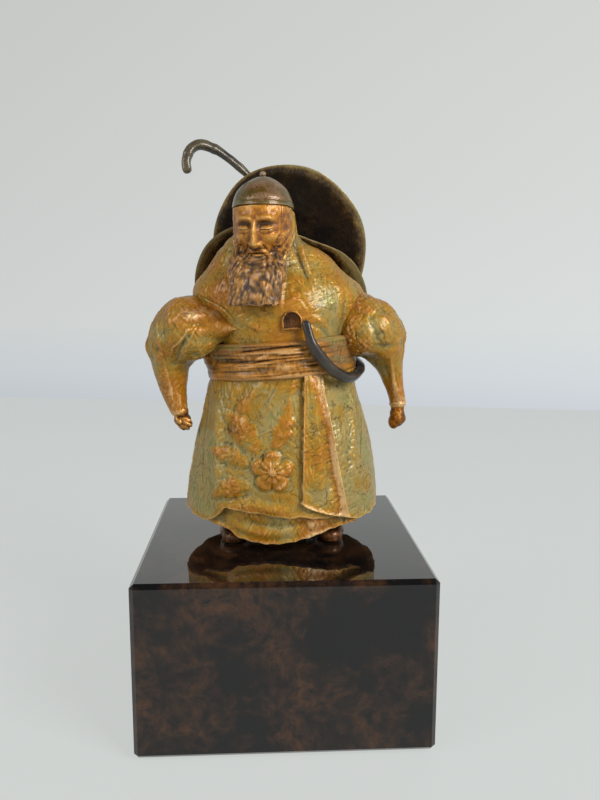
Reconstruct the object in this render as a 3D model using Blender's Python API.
"""Bronze warrior statuette on a polished stone plinth, as the castings and fittings it is put together from.

Metres, +Z up. The origin is the centre of the felt's underside, and the figure faces -Y.
Right and left are the figure's own, so its right arm is at -X.
"""

import math

import bmesh
import bpy
from mathutils import Matrix, Vector

# Clearance between pieces that seat on each other
FIT_GAP = 0.0003

# Stone plinth and the felt under it
FELT_THICKNESS = 0.0008
FELT_INSET = 0.003
FELT_CORNER = 0.004
PLINTH_WIDTH = 0.080
PLINTH_DEPTH = 0.080
PLINTH_HEIGHT = 0.048
PLINTH_CHAMFER = 0.0012
PLINTH_BOTTOM = FELT_THICKNESS + FIT_GAP
PLINTH_TOP = PLINTH_BOTTOM + PLINTH_HEIGHT

# Studs that clamp the boots to the stone, with their washers and nuts in counterbores
STUD_RADIUS = 0.002
STUD_GRIP = 0.009
STUD_THREAD_BELOW_NUT = 0.001
COUNTERBORE_RADIUS = 0.006
COUNTERBORE_DEPTH = 0.012
WASHER_RADIUS = 0.0048
WASHER_THICKNESS = 0.0008
NUT_ACROSS_FLATS = 0.007
NUT_HEIGHT = 0.0032

# Boots, with a leg post that rises inside the skirt
FOOT_SPACING = 0.0286
TOE_FRONT = 0.0115
BOOT_LENGTH = 0.022
BOOT_WIDTH = 0.0098
BOOT_HEIGHT = 0.0062
BOOT_SOLE_CUT = 0.6
# Share of the length from the toe, of the width and of the height
BOOT_OUTLINE = (
    (0.00, 0.35, 0.45),
    (0.06, 0.66, 0.66),
    (0.30, 1.00, 0.86),
    (0.62, 0.86, 1.00),
    (0.94, 0.80, 0.96),
    (1.00, 0.55, 0.80),
)
LEG_SPACING = 0.0230
LEG_RADIUS = 0.0040
LEG_SPIGOT_RADIUS = 0.0025
LEG_SPIGOT_LENGTH = 0.003

# Robe castings. Heights on the figure are above the plinth's top face.
WAIST_SPLIT = 0.0545
TORSO_HEIGHT = 0.025
COLLAR_SPLIT = WAIST_SPLIT + TORSO_HEIGHT
BELLY_HEIGHT = WAIST_SPLIT + 0.22 * TORSO_HEIGHT
CHEST_HEIGHT = WAIST_SPLIT + 0.58 * TORSO_HEIGHT
UPPER_CHEST_HEIGHT = WAIST_SPLIT + 0.78 * TORSO_HEIGHT
# A section is an ellipse with its own front and back depth: skirt, torso, then coif
ROBE_SECTIONS = (
    dict(height=0.0, half_width=0.0290, front=0.0216, back=0.0222, x=0.0000, y=0.0000),
    dict(height=0.165 * WAIST_SPLIT, half_width=0.0288, front=0.0216, back=0.0218, x=0.0000, y=0.0000),
    dict(height=0.349 * WAIST_SPLIT, half_width=0.0279, front=0.0210, back=0.0206, x=0.0005, y=0.0000),
    dict(height=0.624 * WAIST_SPLIT, half_width=0.0250, front=0.0197, back=0.0170, x=0.0006, y=0.0000),
    dict(height=0.881 * WAIST_SPLIT, half_width=0.0212, front=0.0182, back=0.0132, x=0.0003, y=0.0000),
    dict(height=0.991 * WAIST_SPLIT, half_width=0.0188, front=0.0182, back=0.0126, x=0.0004, y=0.0000),
    dict(height=BELLY_HEIGHT, half_width=0.0196, front=0.0184, back=0.0128, x=0.0000, y=-0.0002),
    dict(height=CHEST_HEIGHT, half_width=0.0240, front=0.0176, back=0.0148, x=-0.0005, y=-0.0006),
    dict(height=UPPER_CHEST_HEIGHT, half_width=0.0244, front=0.0156, back=0.0160, x=-0.0010, y=-0.0010),
    dict(height=COLLAR_SPLIT + 0.0005, half_width=0.0188, front=0.0124, back=0.0144, x=-0.0024, y=-0.0016),
    dict(height=COLLAR_SPLIT + 0.0050, half_width=0.0140, front=0.0098, back=0.0116, x=-0.0040, y=-0.0030),
    dict(height=COLLAR_SPLIT + 0.0085, half_width=0.0102, front=0.0078, back=0.0094, x=-0.0047, y=-0.0044),
    dict(height=COLLAR_SPLIT + 0.0135, half_width=0.0092, front=0.0070, back=0.0074, x=-0.0052, y=-0.0060),
    dict(height=COLLAR_SPLIT + 0.0175, half_width=0.0086, front=0.0068, back=0.0066, x=-0.0053, y=-0.0072),
)
ROBE_SIDES = 36
SKIRT_WALL = 0.0022
SKIRT_TOP_PLATE = 0.004
TORSO_CUTTER_RUN_ON = 0.020
HEM_FRONT = 0.0102
HEM_SIDE = 0.0072
HEM_BACK = 0.0040
WAIST_DOWEL_RADIUS = 0.003
WAIST_DOWEL_LENGTH = 0.011

# Inner robe that shows below the front hem
UNDER_ROBE_HALF_ANGLE = math.radians(64)
UNDER_ROBE_WALL = 0.0016
UNDER_ROBE_LOW = 0.0032
UNDER_ROBE_SIDE = 0.0092
UNDER_ROBE_TOP = 0.020

# Sash wound round the waist, lifted on the figure's left
SASH_THICKNESS = 0.0020
SASH_BULGE = 0.0006
SASH_BOTTOM = WAIST_SPLIT - 0.0049
SASH_TOP = WAIST_SPLIT + 0.0055
SASH_LIFT = 0.0016

# Hanging flap on the front of the skirt
FLAP_THICKNESS = 0.0016
FLAP_TOP = SASH_BOTTOM - 0.0018
FLAP_BOTTOM = 0.0125
FLAP_TOP_LEFT_X = 0.0052
FLAP_TOP_RIGHT_X = 0.0112
FLAP_BOTTOM_LEFT_X = 0.0050
FLAP_BOTTOM_RIGHT_X = 0.0168

# Sleeves: path points with their radius across the bend and front to back.
# Their heights are from the shoulder pin.
SHOULDER_HEIGHT = WAIST_SPLIT + 0.44 * TORSO_HEIGHT
RIGHT_SLEEVE_PATH = (
    ((-0.0150, 0.0000, 0.0000), 0.0060, 0.0080),
    ((-0.0205, -0.0030, -0.0007), 0.0090, 0.0112),
    ((-0.0265, -0.0042, -0.0035), 0.0100, 0.0120),
    ((-0.0306, -0.0038, -0.0080), 0.0084, 0.0102),
    ((-0.0322, -0.0032, -0.0130), 0.0056, 0.0070),
    ((-0.0317, -0.0036, -0.0185), 0.0042, 0.0050),
    ((-0.0307, -0.0044, -0.0239), 0.0031, 0.0036),
    ((-0.0296, -0.0051, -0.0273), 0.0025, 0.0027),
)
LEFT_SLEEVE_PATH = (
    ((0.0140, 0.0000, 0.0000), 0.0060, 0.0080),
    ((0.0200, -0.0020, -0.0013), 0.0092, 0.0108),
    ((0.0256, -0.0032, -0.0037), 0.0098, 0.0114),
    ((0.0296, -0.0030, -0.0083), 0.0080, 0.0098),
    ((0.0316, -0.0026, -0.0140), 0.0050, 0.0064),
    ((0.0330, -0.0030, -0.0195), 0.0038, 0.0046),
    ((0.0337, -0.0035, -0.0231), 0.0030, 0.0035),
    ((0.0339, -0.0038, -0.0257), 0.0026, 0.0029),
)
SLEEVE_SIDES = 20
SLEEVE_RINGS_PER_SPAN = 2
ARM_PIN_RADIUS = 0.0015
ARM_PIN_INTO_TORSO = 0.006
ARM_PIN_INTO_SLEEVE = 0.005

# Fists, each with a spigot that fits a socket in its cuff
HAND_LENGTH = dict(right=0.0052, left=0.0072)
HAND_WIDTH = 0.0050
HAND_DEPTH = 0.0060
HAND_SPIGOT_RADIUS = 0.0013
HAND_SPIGOT_LENGTH = 0.004

# Head, turned to the figure's right and bowed, on a neck post in the torso
HEAD_CENTRE = Vector((-0.0053, -0.0094, COLLAR_SPLIT + 0.0120))
HEAD_HALF_WIDTH = 0.0080
HEAD_HALF_DEPTH = 0.0093
HEAD_HALF_HEIGHT = 0.0121
HEAD_TURN = math.radians(-16)
HEAD_BOW = math.radians(10)
NOSE_LENGTH = 0.0056
NOSE_HALF_WIDTH = 0.0012
NOSE_STAND_OUT = 0.0016
NOSE_BELOW_CENTRE = 0.0020
NECK_RADIUS = 0.0042
NECK_SOCKET_DEPTH = 0.006

# Close cap with a small knob
CAP_CENTRE = Vector((-0.0053, -0.0089, COLLAR_SPLIT + 0.0148))
CAP_HALF_WIDTH = 0.0094
CAP_HALF_DEPTH = 0.0106
CAP_HALF_HEIGHT = 0.0100
CAP_RIM_HEIGHT = COLLAR_SPLIT + 0.0141
CAP_RIM_TILT = math.radians(-7)
KNOB_RADIUS = 0.0009
KNOB_SPIGOT_RADIUS = 0.0005
KNOB_SPIGOT_LENGTH = 0.0012

# Long square beard: sections from the cheeks to its end
BEARD_SECTIONS = (
    dict(height=COLLAR_SPLIT + 0.0047, half_width=0.0078, half_depth=0.0046, x=-0.0066, y=-0.0150),
    dict(height=COLLAR_SPLIT + 0.0015, half_width=0.0078, half_depth=0.0042, x=-0.0068, y=-0.0166),
    dict(height=COLLAR_SPLIT - 0.0025, half_width=0.0072, half_depth=0.0034, x=-0.0071, y=-0.0184),
    dict(height=COLLAR_SPLIT - 0.0070, half_width=0.0067, half_depth=0.0028, x=-0.0075, y=-0.0198),
    dict(height=COLLAR_SPLIT - 0.0095, half_width=0.0068, half_depth=0.0026, x=-0.0078, y=-0.0204),
)
BEARD_SIDES = 24
BEARD_SQUARENESS = 0.55

# Oval shield against the back, and the round shield behind it, on one rivet
RIVET_X = 0.0002
RIVET_HEIGHT = WAIST_SPLIT + 0.764 * TORSO_HEIGHT
OVAL_SHIELD = dict(
    centre=Vector((RIVET_X, 0.0108, RIVET_HEIGHT)),
    half_width=0.0269,
    half_height=0.0218,
    depth=0.0058,
    lean=math.radians(15),
    roll=math.radians(17),
)
ROUND_SHIELD = dict(
    centre=Vector((0.0032, 0.0160, RIVET_HEIGHT + 0.0124)),
    half_width=0.0231,
    half_height=0.0252,
    depth=0.0048,
    lean=math.radians(12),
    roll=math.radians(-16),
)
SHIELD_THICKNESS = 0.0014
SHIELD_RIM = 0.0006
SHIELD_SIDES = 36
SHIELD_RINGS = 4

# Rivet and spacer that hold both shields to the back
RIVET_RADIUS = 0.0015
RIVET_INTO_TORSO = 0.006
RIVET_HEAD_RADIUS = 0.0034
RIVET_HEAD_HEIGHT = 0.0016
SPACER_WALL = 0.0014

# Bow slung across the back, with both tips curled
BOW_RADIUS = 0.0012
BOW_SIDES_RESOLUTION = 2
BOW_POINTS_PER_SPAN = 3
# Heights from the round shield's centre
BOW_UPPER_HOOK = (
    (-0.0279, 0.0095, 0.0218),
    (-0.0291, 0.0100, 0.0262),
    (-0.0268, 0.0110, 0.0300),
    (-0.0224, 0.0122, 0.0308),
    (-0.0168, 0.0138, 0.0280),
)
BOW_BEHIND_ROUND_SHIELD = ((-0.0093, 0.0220), (0.0, 0.0125), (0.0090, 0.0010), (0.0160, -0.0140))
# Heights from the waist, with the angle in degrees of each point round it
BOW_BEHIND_OVAL_SHIELD = ((0.0190, 0.0065), (0.0198, 0.0003))
BOW_ROUND_WAIST = (
    (34, -0.0019),
    (12, -0.0030),
    (-10, -0.0039),
    (-30, -0.0042),
    (-46, -0.0039),
    (-60, -0.0011),
    (-71, 0.0047),
)
BOW_LOWER_TIP = (-76, 0.0114)
BOW_LOWER_TIP_STAND_OFF = 0.0012

# Small arched plaque on the chest
PLAQUE_WIDTH = 0.0042
PLAQUE_HEIGHT = 0.0042
PLAQUE_THICKNESS = 0.0008
PLAQUE_BORDER = 0.0006
PLAQUE_X = 0.0032
PLAQUE_BOTTOM = SASH_TOP + 0.0032
PLAQUE_TURN = math.radians(4)

# Facets round a full circle
ROUND_SEGMENTS = 20
SMALL_SEGMENTS = 14
CUTTER_MARGIN = 0.002

# Finishes: colour, roughness and metallic value
FINISHES = {
    "polished_stone": ((0.020, 0.014, 0.011), 0.08, 0.0),
    "felt": ((0.030, 0.032, 0.030), 0.95, 0.0),
    "zinc_steel": ((0.55, 0.56, 0.58), 0.35, 1.0),
    "bare_bronze": ((0.50, 0.33, 0.14), 0.40, 1.0),
    "olive_bronze": ((0.36, 0.29, 0.10), 0.36, 0.7),
    "copper_bronze": ((0.42, 0.20, 0.08), 0.32, 0.8),
    "dark_bronze": ((0.090, 0.062, 0.028), 0.34, 0.7),
    "grey_bronze": ((0.085, 0.075, 0.068), 0.36, 0.7),
}


def clear_scene():
    for old in list(bpy.data.objects):
        bpy.data.objects.remove(old, do_unlink=True)


def finish(name):
    found = bpy.data.materials.get(name)
    if found:
        return found
    colour, roughness, metallic = FINISHES[name]
    made = bpy.data.materials.new(name)
    made.use_nodes = True
    shader = made.node_tree.nodes["Principled BSDF"]
    shader.inputs["Base Color"].default_value = (*colour, 1.0)
    shader.inputs["Roughness"].default_value = roughness
    shader.inputs["Metallic"].default_value = metallic
    made.diffuse_color = (*colour, 1.0)
    return made


def add_object(name, mesh_data, finish_name):
    """Turns a bmesh into a named object with its faces pointing out."""
    bmesh.ops.remove_doubles(mesh_data, verts=mesh_data.verts, dist=1e-7)
    bmesh.ops.recalc_face_normals(mesh_data, faces=mesh_data.faces)
    mesh = bpy.data.meshes.new(name)
    mesh_data.to_mesh(mesh)
    mesh_data.free()
    mesh.shade_smooth()
    mesh.set_sharp_from_angle(angle=math.radians(40))
    made = bpy.data.objects.new(name, mesh)
    bpy.context.scene.collection.objects.link(made)
    if finish_name:
        mesh.materials.append(finish(finish_name))
    return made


def as_cutter(helper):
    helper.hide_render = True
    helper.display_type = "WIRE"
    return helper


def boolean(target, helper, operation):
    modifier = target.modifiers.new(operation.lower(), "BOOLEAN")
    modifier.operation = operation
    modifier.object = as_cutter(helper)


def cut(target, *cutters):
    for cutter in cutters:
        boolean(target, cutter, "DIFFERENCE")


def join(target, *extras):
    for extra in extras:
        boolean(target, extra, "UNION")


def loft(rings, cyclic=False):
    """Skins rings of equal point count into a closed surface, capped at both ends unless cyclic."""
    skin = bmesh.new()
    loops = [[skin.verts.new(point) for point in ring] for ring in rings]
    sides = len(rings[0])
    spans = len(loops) if cyclic else len(loops) - 1
    for index in range(spans):
        low = loops[index]
        high = loops[(index + 1) % len(loops)]
        for side in range(sides):
            after = (side + 1) % sides
            skin.faces.new((low[side], low[after], high[after], high[side]))
    if not cyclic:
        skin.faces.new(loops[0])
        skin.faces.new(loops[-1])
    return skin


def turned(name, profile, finish_name, sides=ROUND_SEGMENTS):
    """Lathes a closed (radius, height) profile about Z; its first and last points lie on the axis."""
    lathe = bmesh.new()
    corners = [lathe.verts.new((radius, 0.0, height)) for radius, height in profile]
    outline = [lathe.edges.new(pair) for pair in zip(corners, corners[1:])]
    bmesh.ops.spin(
        lathe,
        geom=corners + outline,
        axis=(0, 0, 1),
        cent=(0, 0, 0),
        angle=2 * math.pi,
        steps=sides,
        use_merge=True,
    )
    return add_object(name, lathe, finish_name)


def rod(name, radius, start, end, finish_name=None, sides=ROUND_SEGMENTS):
    """A plain cylinder between two points."""
    start = Vector(start)
    along = Vector(end) - start
    bar = bmesh.new()
    bmesh.ops.create_cone(
        bar,
        cap_ends=True,
        segments=sides,
        radius1=radius,
        radius2=radius,
        depth=along.length,
        matrix=Matrix.Translation((0, 0, along.length / 2)),
    )
    made = add_object(name, bar, finish_name)
    made.location = start
    made.rotation_mode = "QUATERNION"
    made.rotation_quaternion = Vector((0, 0, 1)).rotation_difference(along)
    return made


def ellipsoid(name, half_sizes, place, finish_name=None, sides=ROUND_SEGMENTS, rings=14):
    ball = bmesh.new()
    bmesh.ops.create_uvsphere(ball, u_segments=sides, v_segments=rings, radius=1.0)
    bmesh.ops.scale(ball, vec=half_sizes, verts=ball.verts)
    bmesh.ops.transform(ball, matrix=place, verts=ball.verts)
    return add_object(name, ball, finish_name)


def box(name, size, place, finish_name=None):
    block = bmesh.new()
    bmesh.ops.create_cube(block, size=1.0)
    bmesh.ops.scale(block, vec=size, verts=block.verts)
    bmesh.ops.transform(block, matrix=place, verts=block.verts)
    return add_object(name, block, finish_name)


def on_figure(point):
    """A point given above the plinth's top face, in the part's frame."""
    return Vector(point) + Vector((0, 0, PLINTH_TOP))


def smooth_value(stations, height, key):
    """Cubic through the stations, with each slope taken from its neighbours."""
    last = len(stations) - 1
    index = 0
    while index < last - 1 and height > stations[index + 1]["height"]:
        index += 1

    def slope(at):
        before = stations[max(at - 1, 0)]
        after = stations[min(at + 1, last)]
        return (after[key] - before[key]) / (after["height"] - before["height"])

    low, high = stations[index], stations[index + 1]
    span = high["height"] - low["height"]
    t = min(max((height - low["height"]) / span, 0.0), 1.0)
    rise, fall = t * t * (3 - 2 * t), t * t * (t - 1)
    start = slope(index) * span * (t - 2 * t * t + t ** 3)
    return low[key] * (1 - rise) + high[key] * rise + start + slope(index + 1) * span * fall


def robe_point(angle, height, offset=0.0):
    """A point of the robe's outer surface; the angle runs from +X, and the front is at -90 degrees."""
    section = {key: smooth_value(ROBE_SECTIONS, height, key) for key in ROBE_SECTIONS[0]}
    depth = section["back"] if math.sin(angle) > 0 else section["front"]
    across = (section["half_width"] + offset) * math.cos(angle)
    deep = (depth + offset) * math.sin(angle)
    return on_figure((section["x"] + across, section["y"] + deep, height))


def front_angle(x, height):
    """The angle at which the robe's front has this X."""
    half_width = smooth_value(ROBE_SECTIONS, height, "half_width")
    centre = smooth_value(ROBE_SECTIONS, height, "x")
    return -math.acos(max(-1.0, min(1.0, (x - centre) / half_width)))


def angles(sides):
    return [2 * math.pi * side / sides for side in range(sides)]


def robe_ring(height, offset=0.0):
    """One closed ring of the robe; the height may change with the angle."""
    level = height if callable(height) else lambda angle: height
    return [robe_point(angle, level(angle), offset) for angle in angles(ROBE_SIDES)]


def spread(start, end, count):
    return [start + (end - start) * index / (count - 1) for index in range(count)]


def robe_solid(name, bottom, top, offset, rings, finish_name=None):
    return add_object(
        name, loft([robe_ring(height, offset) for height in spread(bottom, top, rings)]), finish_name
    )


def robe_plate(name, where, inner, outer, columns, rows, finish_name):
    """A curved plate that follows the robe; where(u, v) gives the angle and height of a grid point."""
    rings = []
    for row in range(rows + 1):
        v = row / rows
        front = [robe_point(*where(column / columns, v), outer) for column in range(columns + 1)]
        back = [robe_point(*where(column / columns, v), inner) for column in range(columns + 1)]
        rings.append(front + back[::-1])
    return add_object(name, loft(rings), finish_name)


def skirt_hem(angle):
    """Hem height round the skirt: through the front, side and back values."""
    s = math.sin(angle)
    return HEM_SIDE + (HEM_BACK - HEM_FRONT) / 2 * s + ((HEM_BACK + HEM_FRONT) / 2 - HEM_SIDE) * s * s


def felt_sheet():
    size = (PLINTH_WIDTH - 2 * FELT_INSET, PLINTH_DEPTH - 2 * FELT_INSET, FELT_THICKNESS)
    sheet = box("felt_sheet", size, Matrix.Translation((0, 0, FELT_THICKNESS / 2)), "felt")
    corners = bmesh.new()
    corners.from_mesh(sheet.data)
    upright = [e for e in corners.edges if abs(e.verts[0].co.z - e.verts[1].co.z) > FELT_THICKNESS / 2]
    bmesh.ops.bevel(corners, geom=upright, offset=FELT_CORNER, segments=4, profile=0.5, affect="EDGES")
    corners.to_mesh(sheet.data)
    corners.free()


def legs():
    """The figure's two legs: name, and the X of the leg post and its stud."""
    return (("right", -LEG_SPACING / 2), ("left", LEG_SPACING / 2))


def stone_plinth():
    size = (PLINTH_WIDTH, PLINTH_DEPTH, PLINTH_HEIGHT)
    middle = Matrix.Translation((0, 0, PLINTH_BOTTOM + PLINTH_HEIGHT / 2))
    plinth = box("stone_plinth", size, middle, "polished_stone")
    bevel = plinth.modifiers.new("chamfer", "BEVEL")
    bevel.width = PLINTH_CHAMFER
    bevel.segments = 1
    below = PLINTH_BOTTOM - CUTTER_MARGIN
    for side, x in legs():
        hole = rod(
            side + "_stud_hole", STUD_RADIUS + FIT_GAP, (x, 0, below), (x, 0, PLINTH_TOP + CUTTER_MARGIN)
        )
        seat = rod(
            side + "_nut_seat", COUNTERBORE_RADIUS, (x, 0, below), (x, 0, PLINTH_BOTTOM + COUNTERBORE_DEPTH)
        )
        cut(plinth, hole, seat)


def fastener_levels():
    """Top of the washer, top of the nut and bottom of the nut, down from the counterbore's roof."""
    washer_top = PLINTH_BOTTOM + COUNTERBORE_DEPTH - FIT_GAP
    nut_top = washer_top - WASHER_THICKNESS - FIT_GAP
    return washer_top, nut_top, nut_top - NUT_HEIGHT


def mounting_fasteners():
    washer_top, nut_top, nut_bottom = fastener_levels()
    for side, x in legs():
        stud_bottom = nut_bottom - STUD_THREAD_BELOW_NUT
        stud_top = PLINTH_TOP + STUD_GRIP
        rod(side + "_stud", STUD_RADIUS, (x, 0, stud_bottom), (x, 0, stud_top), "zinc_steel")
        washer_bottom = washer_top - WASHER_THICKNESS
        washer = rod(side + "_washer", WASHER_RADIUS, (x, 0, washer_bottom), (x, 0, washer_top), "zinc_steel")
        nut_radius = NUT_ACROSS_FLATS / math.sqrt(3)
        nut = rod(side + "_nut", nut_radius, (x, 0, nut_bottom), (x, 0, nut_top), "zinc_steel", sides=6)
        for piece in (washer, nut):
            bore = rod(
                piece.name + "_bore",
                STUD_RADIUS + FIT_GAP,
                (x, 0, stud_bottom - CUTTER_MARGIN),
                (x, 0, PLINTH_TOP),
            )
            cut(piece, bore)


def boots():
    """Each boot is a foot with a leg post, tapped for its stud and spigoted into the skirt's top plate."""
    sole = FIT_GAP
    post_top = WAIST_SPLIT - SKIRT_TOP_PLATE - FIT_GAP
    for side, x in legs():
        foot_x = math.copysign(FOOT_SPACING / 2, x)
        rings = []
        for along, width_share, height_share in BOOT_OUTLINE:
            y = -TOE_FRONT + BOOT_LENGTH * along
            ring = []
            for angle in angles(ROUND_SEGMENTS):
                up = (max(math.sin(angle), -BOOT_SOLE_CUT) + BOOT_SOLE_CUT) / (1 + BOOT_SOLE_CUT)
                across = BOOT_WIDTH / 2 * width_share * math.cos(angle)
                ring.append(on_figure((foot_x + across, y, sole + BOOT_HEIGHT * height_share * up)))
            rings.append(ring)
        boot = add_object(side + "_boot", loft(rings), "copper_bronze")
        ankle = on_figure((x, 0, BOOT_HEIGHT / 2))
        post = rod(side + "_leg_post", LEG_RADIUS, ankle, on_figure((x, 0, post_top)))
        spigot = rod(
            side + "_leg_spigot",
            LEG_SPIGOT_RADIUS,
            on_figure((x, 0, post_top - CUTTER_MARGIN)),
            on_figure((x, 0, post_top + LEG_SPIGOT_LENGTH)),
        )
        join(boot, post, spigot)
        tapped = rod(
            side + "_tapped_hole",
            STUD_RADIUS + FIT_GAP,
            on_figure((x, 0, -CUTTER_MARGIN)),
            on_figure((x, 0, STUD_GRIP + FIT_GAP)),
        )
        cut(boot, tapped)


def robe_skirt():
    """Hollow skirt casting, open below, with a plate under the waist that the legs and torso fix to."""
    top = WAIST_SPLIT
    ceiling = WAIST_SPLIT - SKIRT_TOP_PLATE

    def level(share, roof):
        return lambda angle: skirt_hem(angle) + (roof - skirt_hem(angle)) * share

    shares = (0.0, 0.1, 0.25, 0.42, 0.6, 0.76, 0.84, 0.92, 1.0)
    inside = [robe_ring(level(share, ceiling), -SKIRT_WALL) for share in reversed(shares)]
    outside = [robe_ring(level(share, top)) for share in shares]
    skirt = add_object("robe_skirt", loft(inside + outside), "olive_bronze")
    for side, x in legs():
        socket = rod(
            side + "_leg_socket",
            LEG_SPIGOT_RADIUS + FIT_GAP,
            on_figure((x, 0, ceiling - CUTTER_MARGIN)),
            on_figure((x, 0, ceiling + LEG_SPIGOT_LENGTH)),
        )
        cut(skirt, socket)
    cut(skirt, waist_dowel_hole("skirt_dowel_hole"))


def waist_dowel_span():
    low = WAIST_SPLIT + FIT_GAP / 2 - SKIRT_TOP_PLATE
    return on_figure((0, 0, low)), on_figure((0, 0, low + WAIST_DOWEL_LENGTH))


def waist_dowel_hole(name):
    low, high = waist_dowel_span()
    slack = Vector((0, 0, FIT_GAP))
    return rod(name, WAIST_DOWEL_RADIUS + FIT_GAP, low - slack - slack, high + slack)


def waist_dowel():
    rod("waist_dowel", WAIST_DOWEL_RADIUS, *waist_dowel_span(), "bare_bronze")


def under_robe():
    def where(u, v):
        across = 2 * u - 1
        low = UNDER_ROBE_LOW + (UNDER_ROBE_SIDE - UNDER_ROBE_LOW) * across * across
        return -math.pi / 2 + UNDER_ROBE_HALF_ANGLE * across, low + (UNDER_ROBE_TOP - low) * v

    outer = -SKIRT_WALL - FIT_GAP
    robe_plate("under_robe", where, outer - UNDER_ROBE_WALL, outer, 14, 4, "olive_bronze")


def front_flap():
    def where(u, v):
        height = FLAP_BOTTOM + (FLAP_TOP - FLAP_BOTTOM) * v
        left = FLAP_BOTTOM_LEFT_X + (FLAP_TOP_LEFT_X - FLAP_BOTTOM_LEFT_X) * v
        right = FLAP_BOTTOM_RIGHT_X + (FLAP_TOP_RIGHT_X - FLAP_BOTTOM_RIGHT_X) * v
        return front_angle(left + (right - left) * u, height), height

    robe_plate("front_flap", where, FIT_GAP, FIT_GAP + FLAP_THICKNESS, 5, 10, "olive_bronze")


def sash_levels():
    def bottom(angle):
        return SASH_BOTTOM + SASH_LIFT * math.cos(angle)

    def top(angle):
        return SASH_TOP + SASH_LIFT * math.cos(angle)

    return bottom, top


def sash():
    bottom, top = sash_levels()

    def ring(share, offset):
        return robe_ring(lambda angle: bottom(angle) + (top(angle) - bottom(angle)) * share, offset)

    outer = FIT_GAP + SASH_THICKNESS
    inside = [ring(share, FIT_GAP) for share in (0.0, 0.25, 0.5, 0.75, 1.0)]
    outside = [ring(1.0, outer)]
    outside += [ring(share, outer + SASH_BULGE) for share in (0.75, 0.25)]
    outside += [ring(0.0, outer)]
    add_object("sash", loft(inside + outside, cyclic=True), "copper_bronze")


def sash_cutter(name):
    """The sash's outer form, filled in, with the fit gap all round."""
    bottom, top = sash_levels()
    outer = SASH_THICKNESS + SASH_BULGE + 2 * FIT_GAP
    rings = [
        robe_ring(lambda angle: bottom(angle) - FIT_GAP, outer),
        robe_ring(lambda angle: top(angle) + FIT_GAP, outer),
    ]
    return add_object(name, loft(rings), None)


def torso():
    bottom = WAIST_SPLIT + FIT_GAP
    body = robe_solid("torso", bottom, COLLAR_SPLIT, 0.0, 12, "olive_bronze")
    cut(body, waist_dowel_hole("torso_dowel_hole"), neck_post("neck_socket", FIT_GAP))
    cut(body, *[arm_pin(side + "_torso_pin_hole", path, FIT_GAP) for side, path in sleeves()])
    cut(body, rivet_shank("torso_rivet_hole", FIT_GAP))


def torso_cutter(name):
    """The torso grown by the fit gap, run on into the skirt and the coif."""
    return robe_solid(name, WAIST_SPLIT - TORSO_CUTTER_RUN_ON, COLLAR_SPLIT + FIT_GAP, FIT_GAP, 16)


def sleeves():
    return (("right", RIGHT_SLEEVE_PATH), ("left", LEFT_SLEEVE_PATH))


def spline_value(before, low, high, after, t):
    """Catmull-Rom value between low and high."""
    bend = 2 * before - 5 * low + 4 * high - after
    twist = 3 * low - before - 3 * high + after
    return 0.5 * (2 * low + (high - before) * t + bend * t * t + twist * t ** 3)


def along_path(points, per_span):
    """Points on a smooth curve through the given ones; each is a flat tuple of numbers."""
    found = []
    last = len(points) - 1
    for index in range(last):
        before = points[max(index - 1, 0)]
        low = points[index]
        high = points[index + 1]
        after = points[min(index + 2, last)]
        for step in range(per_span):
            t = step / per_span
            found.append([spline_value(*values, t) for values in zip(before, low, high, after)])
    found.append(list(points[-1]))
    return found


def sleeve_rings(path):
    flat = [(x, y, SHOULDER_HEIGHT + z, across, deep) for (x, y, z), across, deep in path]
    stations = along_path(flat, SLEEVE_RINGS_PER_SPAN)
    rings = []
    for index, (x, y, z, across, deep) in enumerate(stations):
        before = Vector(stations[max(index - 1, 0)][:3])
        after = Vector(stations[min(index + 1, len(stations) - 1)][:3])
        outward = (after - before).normalized().cross(Vector((0, 1, 0))).normalized()
        middle = on_figure((x, y, z))
        rings.append(
            [
                middle + outward * across * math.cos(angle) + Vector((0, deep * math.sin(angle), 0))
                for angle in angles(SLEEVE_SIDES)
            ]
        )
    return rings


def arm_pin(name, path, grow=0.0, finish_name=None):
    """Dowel across the shoulder joint, square to the torso's side."""
    side = math.copysign(1.0, path[0][0][0])
    height = SHOULDER_HEIGHT + path[0][0][2]
    surface = robe_point(0.0 if side > 0 else math.pi, height)
    inner = surface.x - side * (ARM_PIN_INTO_TORSO + grow)
    outer = surface.x + side * (ARM_PIN_INTO_SLEEVE + grow)
    start = (inner, surface.y, surface.z)
    end = (outer, surface.y, surface.z)
    return rod(name, ARM_PIN_RADIUS + grow, start, end, finish_name, SMALL_SEGMENTS)


def arm_castings():
    for side, path in sleeves():
        sleeve = add_object(side + "_sleeve", loft(sleeve_rings(path)), "olive_bronze")
        cut(sleeve, torso_cutter(side + "_torso_seat"), sash_cutter(side + "_sash_seat"))
        cut(sleeve, arm_pin(side + "_sleeve_pin_hole", path, FIT_GAP))
        cut(sleeve, hand_spigot(side + "_cuff_socket", path, FIT_GAP))
        arm_pin(side + "_arm_pin", path, 0.0, "bare_bronze")
        hand(side, path)


def wrist(path):
    """End of a sleeve and the direction it points."""
    end = Vector(path[-1][0])
    return on_figure(end) + Vector((0, 0, SHOULDER_HEIGHT)), (end - Vector(path[-2][0])).normalized()


def hand_spigot(name, path, grow=0.0):
    end, along = wrist(path)
    start = end - along * (HAND_SPIGOT_LENGTH + grow)
    return rod(name, HAND_SPIGOT_RADIUS + grow, start, end + along * CUTTER_MARGIN, sides=SMALL_SEGMENTS)


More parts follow.
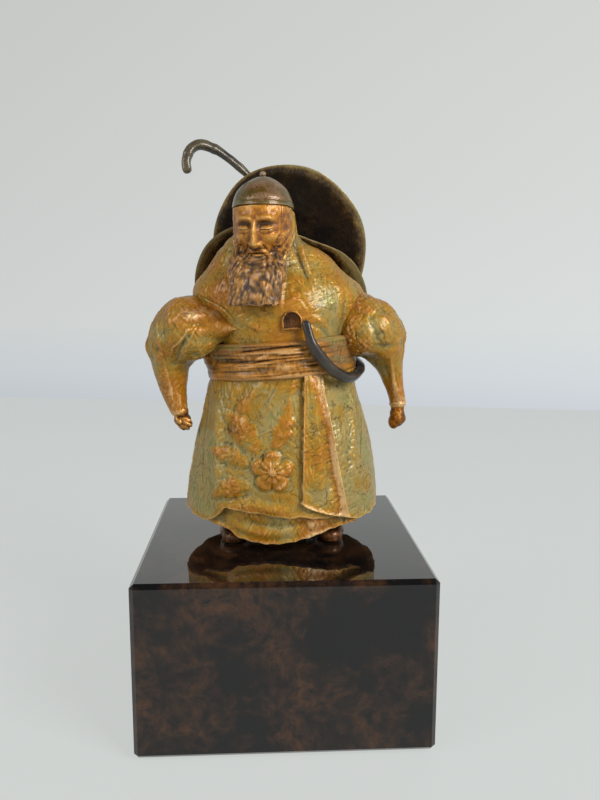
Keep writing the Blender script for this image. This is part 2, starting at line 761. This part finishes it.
def hand(side, path):
    """Loosely closed fist that hangs from the cuff."""
    end, along = wrist(path)
    outward = along.cross(Vector((0, 1, 0))).normalized()
    shares = ((0.0, 0.72, 0.70), (0.25, 0.86, 0.84), (0.55, 1.0, 1.0), (0.85, 0.9, 0.86), (1.0, 0.62, 0.55))
    rings = []
    for down, width_share, depth_share in shares:
        middle = end + along * (FIT_GAP + HAND_LENGTH[side] * down)
        ring = []
        for angle in angles(16):
            across = outward * (HAND_WIDTH / 2 * width_share * math.cos(angle))
            ring.append(middle + across + Vector((0, HAND_DEPTH / 2 * depth_share * math.sin(angle), 0)))
        rings.append(ring)
    fist = add_object(side + "_hand", loft(rings), "copper_bronze")
    join(fist, hand_spigot(side + "_hand_spigot", path))


def head_place():
    turn = Matrix.Rotation(HEAD_TURN, 4, "Z") @ Matrix.Rotation(HEAD_BOW, 4, "X")
    return Matrix.Translation(on_figure(HEAD_CENTRE)) @ turn


def head_egg(name, grow=0.0, finish_name=None):
    sizes = (HEAD_HALF_WIDTH + grow, HEAD_HALF_DEPTH + grow, HEAD_HALF_HEIGHT + grow)
    return ellipsoid(name, sizes, head_place(), finish_name)


def neck_post(name, grow=0.0):
    centre = on_figure(HEAD_CENTRE)
    foot = on_figure((HEAD_CENTRE.x, 0, COLLAR_SPLIT - NECK_SOCKET_DEPTH - grow))
    foot.y = robe_point(math.pi / 2, COLLAR_SPLIT).y / 2 + robe_point(-math.pi / 2, COLLAR_SPLIT).y / 2
    return rod(name, NECK_RADIUS + grow, foot, (centre.x, centre.y / 2 + foot.y / 2, centre.z))


def head():
    skull = head_egg("head", 0.0, "copper_bronze")
    nose_sizes = (NOSE_HALF_WIDTH, NOSE_STAND_OUT, NOSE_LENGTH / 2)
    nose_at = head_place() @ Matrix.Translation((0, -HEAD_HALF_DEPTH, -NOSE_BELOW_CENTRE))
    join(skull, ellipsoid("nose", nose_sizes, nose_at, None, 10, 8), neck_post("neck"))


def cap_dome(name, grow=0.0, finish_name=None):
    """The part of the cap's ellipsoid above its rim."""
    sizes = (CAP_HALF_WIDTH + grow, CAP_HALF_DEPTH + grow, CAP_HALF_HEIGHT + grow)
    dome = ellipsoid(name, sizes, Matrix.Translation(on_figure(CAP_CENTRE)), finish_name, 24, 14)
    trimmed = bmesh.new()
    trimmed.from_mesh(dome.data)
    tilt = Matrix.Rotation(CAP_RIM_TILT, 3, "X")
    rim = on_figure((CAP_CENTRE.x, CAP_CENTRE.y, CAP_RIM_HEIGHT - grow))
    bmesh.ops.bisect_plane(
        trimmed,
        geom=trimmed.verts[:] + trimmed.edges[:] + trimmed.faces[:],
        plane_co=rim,
        plane_no=-(tilt @ Vector((0, 0, 1))),
        clear_outer=True,
    )
    bmesh.ops.holes_fill(trimmed, edges=[e for e in trimmed.edges if e.is_boundary])
    bmesh.ops.recalc_face_normals(trimmed, faces=trimmed.faces)
    trimmed.to_mesh(dome.data)
    trimmed.free()
    return dome


def cap():
    shell = cap_dome("cap", 0.0, "olive_bronze")
    crown = on_figure(CAP_CENTRE) + Vector((0, 0, CAP_HALF_HEIGHT))
    slack = Vector((0, 0, FIT_GAP))
    foot = crown - Vector((0, 0, KNOB_SPIGOT_LENGTH)) - slack
    socket = rod("knob_socket", KNOB_SPIGOT_RADIUS + FIT_GAP, foot, crown + slack * 4, sides=SMALL_SEGMENTS)
    cut(shell, head_egg("cap_lining", FIT_GAP), socket)
    knob = turned("cap_knob", knob_profile(), "copper_bronze", SMALL_SEGMENTS)
    knob.location = crown + slack


def knob_profile():
    """Spigot, then a ball that sits on the cap."""
    ball = [-60, -30, 0, 30, 60]
    points = [(0, -KNOB_SPIGOT_LENGTH), (KNOB_SPIGOT_RADIUS, -KNOB_SPIGOT_LENGTH), (KNOB_SPIGOT_RADIUS, 0)]
    for degrees in ball:
        a = math.radians(degrees)
        points.append((KNOB_RADIUS * math.cos(a), KNOB_RADIUS * (math.sin(a) + math.sin(math.radians(60)))))
    return points + [(0, KNOB_RADIUS * (1 + math.sin(math.radians(60))))]


def coif_form(name, grow=0.0, finish_name=None):
    """Hood that runs on from the shoulders and wraps the head."""
    top = ROBE_SECTIONS[-1]["height"]
    return robe_solid(name, COLLAR_SPLIT + FIT_GAP - grow, top + grow, grow, 11, finish_name)


def coif():
    hood = coif_form("coif", 0.0, "olive_bronze")
    cut(hood, cap_dome("coif_cap_seat", FIT_GAP), head_egg("coif_face", FIT_GAP))
    cut(hood, neck_post("coif_neck", FIT_GAP))


def beard():
    rings = []
    for section in BEARD_SECTIONS:
        ring = []
        for angle in angles(BEARD_SIDES):
            cosine, sine = math.cos(angle), math.sin(angle)
            across = math.copysign(abs(cosine) ** BEARD_SQUARENESS, cosine) * section["half_width"]
            deep = math.copysign(abs(sine) ** BEARD_SQUARENESS, sine) * section["half_depth"]
            ring.append(on_figure((section["x"] + across, section["y"] + deep, section["height"])))
        rings.append(ring)
    hair = add_object("beard", loft(rings), "copper_bronze")
    cut(hair, head_egg("beard_chin", FIT_GAP), coif_form("beard_coif", FIT_GAP), torso_cutter("beard_chest"))


def dish_rings(shield):
    """Shallow dish in its own frame, its hollow facing -Y: the hollow out to the rim, then the back."""
    shares = [(index + 0.35) / (SHIELD_RINGS + 0.35) for index in range(SHIELD_RINGS + 1)]

    def ring(share, behind, extra=0.0):
        y = shield["depth"] * (1 - share * share) + behind
        wide = shield["half_width"] * share + extra
        high = shield["half_height"] * share + extra
        return [Vector((wide * math.cos(angle), y, high * math.sin(angle))) for angle in angles(SHIELD_SIDES)]

    hollow = [ring(share, 0.0) for share in shares]
    edge = [ring(1.0, SHIELD_THICKNESS / 2, SHIELD_RIM)]
    back = [ring(share, SHIELD_THICKNESS) for share in reversed(shares)]
    return hollow + edge + back


def shield_casting(name, shield):
    turn = Matrix.Rotation(shield["lean"], 4, "X") @ Matrix.Rotation(shield["roll"], 4, "Y")
    place = Matrix.Translation(on_figure(shield["centre"])) @ turn
    dish = loft([[place @ point for point in ring] for ring in dish_rings(shield)])
    made = add_object(name, dish, "dark_bronze")
    cut(made, rivet_shank(name + "_rivet_hole", FIT_GAP))


def shield_back(shield, x, height):
    """Y of a shield's outer face behind this point; its lean tips the top forward."""
    across = x - shield["centre"].x
    up = (height - shield["centre"].z) / math.cos(shield["lean"])
    wide = across * math.cos(shield["roll"]) - up * math.sin(shield["roll"])
    high = across * math.sin(shield["roll"]) + up * math.cos(shield["roll"])
    share = (wide / shield["half_width"]) ** 2 + (high / shield["half_height"]) ** 2
    bulge = shield["depth"] * max(1 - share, 0.0) + SHIELD_THICKNESS
    return shield["centre"].y + bulge - up * math.sin(shield["lean"])


def rivet_span():
    front = robe_point(math.pi / 2, RIVET_HEIGHT).y - RIVET_INTO_TORSO
    return front, shield_back(ROUND_SHIELD, RIVET_X, RIVET_HEIGHT) + FIT_GAP


def rivet_shank(name, grow=0.0, finish_name=None):
    front, back = rivet_span()
    start = on_figure((RIVET_X, front - grow, RIVET_HEIGHT))
    end = on_figure((RIVET_X, back + RIVET_HEAD_HEIGHT / 2, RIVET_HEIGHT))
    return rod(name, RIVET_RADIUS + grow, start, end, finish_name, SMALL_SEGMENTS)


def shield_fixings():
    rivet = rivet_shank("shield_rivet", 0.0, "bare_bronze")
    back = rivet_span()[1] + RIVET_HEAD_RADIUS * math.sin(ROUND_SHIELD["lean"])
    shoulder = (RIVET_HEAD_RADIUS * 0.7, RIVET_HEAD_HEIGHT * 0.7)
    profile = [(0, 0), (RIVET_HEAD_RADIUS, 0), shoulder, (0, RIVET_HEAD_HEIGHT)]
    dome = turned("rivet_head", profile, None)
    dome.location = on_figure((RIVET_X, back, RIVET_HEIGHT))
    dome.rotation_euler = (math.radians(-90), 0, 0)
    join(rivet, dome)
    outer = RIVET_RADIUS + FIT_GAP + SPACER_WALL
    oval_face = shield_back(OVAL_SHIELD, RIVET_X, RIVET_HEIGHT)
    round_face = shield_back(ROUND_SHIELD, RIVET_X, RIVET_HEIGHT) - SHIELD_THICKNESS
    spacer_start = oval_face + FIT_GAP + outer * math.sin(OVAL_SHIELD["lean"])
    spacer_end = round_face - 2 * FIT_GAP - outer * math.sin(ROUND_SHIELD["lean"])
    spacer = rod(
        "shield_spacer",
        outer,
        on_figure((RIVET_X, spacer_start, RIVET_HEIGHT)),
        on_figure((RIVET_X, spacer_end, RIVET_HEIGHT)),
        "bare_bronze",
    )
    cut(spacer, rivet_shank("spacer_bore", FIT_GAP))


def bow_route():
    """Points along the bow, from its upper tip behind the shield to its lower tip at the front."""
    lie = BOW_RADIUS + FIT_GAP
    over_sash = SASH_THICKNESS + SASH_BULGE + FIT_GAP

    def behind(shield, x, height):
        return on_figure((x, shield_back(shield, x, height) + 2 * lie, height))

    def round_waist(degrees, rise, extra):
        return robe_point(math.radians(degrees), WAIST_SPLIT + rise, lie + extra)

    middle = ROUND_SHIELD["centre"].z
    return (
        [on_figure((x, y, middle + rise)) for x, y, rise in BOW_UPPER_HOOK]
        + [behind(ROUND_SHIELD, x, middle + rise) for x, rise in BOW_BEHIND_ROUND_SHIELD]
        + [behind(OVAL_SHIELD, x, WAIST_SPLIT + rise) for x, rise in BOW_BEHIND_OVAL_SHIELD]
        + [round_waist(*place, over_sash) for place in BOW_ROUND_WAIST]
        + [round_waist(*BOW_LOWER_TIP, BOW_LOWER_TIP_STAND_OFF)]
    )


def bow():
    points = along_path([tuple(point) for point in bow_route()], BOW_POINTS_PER_SPAN)
    line = bpy.data.curves.new("bow", "CURVE")
    line.dimensions = "3D"
    line.bevel_depth = BOW_RADIUS
    line.bevel_resolution = BOW_SIDES_RESOLUTION
    line.use_fill_caps = True
    spline = line.splines.new("POLY")
    spline.points.add(len(points) - 1)
    for knot, place in zip(spline.points, points):
        knot.co = (*place, 1.0)
    made = bpy.data.objects.new("bow", line)
    line.materials.append(finish("grey_bronze"))
    bpy.context.scene.collection.objects.link(made)


def chest_plaque():
    """Arched plate with a raised border, flat on the chest."""
    middle = PLAQUE_BOTTOM + PLAQUE_HEIGHT / 2
    angle = front_angle(PLAQUE_X, middle)
    seat = robe_point(angle, middle)
    step = 0.001
    along = robe_point(angle + step, middle) - robe_point(angle - step, middle)
    upward = robe_point(angle, middle + step) - robe_point(angle, middle - step)
    out = along.cross(upward).normalized()
    right = along.normalized()
    turn = Matrix.Rotation(PLAQUE_TURN, 4, out)
    up = out.cross(right)
    half = PLAQUE_WIDTH / 2
    spring = PLAQUE_HEIGHT - half
    outline = [(-half, 0.0), (half, 0.0)]
    for step_index in range(9):
        bend = math.pi * step_index / 8
        outline.append((half * math.cos(bend), spring + half * math.sin(bend)))

    def ring(scale, lift):
        places = []
        for a, b in outline:
            across = right * (a * scale)
            rise = up * ((b - PLAQUE_HEIGHT / 2) * scale)
            places.append(seat + turn @ (across + rise + out * lift))
        return places

    sag = half * half / (2 * smooth_value(ROBE_SECTIONS, middle, "front"))
    low = FIT_GAP + sag / 4
    inner = 1 - 2 * PLAQUE_BORDER / PLAQUE_WIDTH
    rings = [ring(1.0, low), ring(1.0, low + PLAQUE_THICKNESS), ring(inner, low + PLAQUE_THICKNESS)]
    rings.append(ring(inner, low + PLAQUE_THICKNESS * 0.6))
    add_object("chest_plaque", loft(rings), "copper_bronze")


def build():
    clear_scene()
    felt_sheet()
    stone_plinth()
    mounting_fasteners()
    boots()
    robe_skirt()
    under_robe()
    front_flap()
    waist_dowel()
    sash()
    torso()
    arm_castings()
    head()
    cap()
    coif()
    beard()
    shield_casting("oval_shield", OVAL_SHIELD)
    shield_casting("round_shield", ROUND_SHIELD)
    shield_fixings()
    bow()
    chest_plaque()


build()
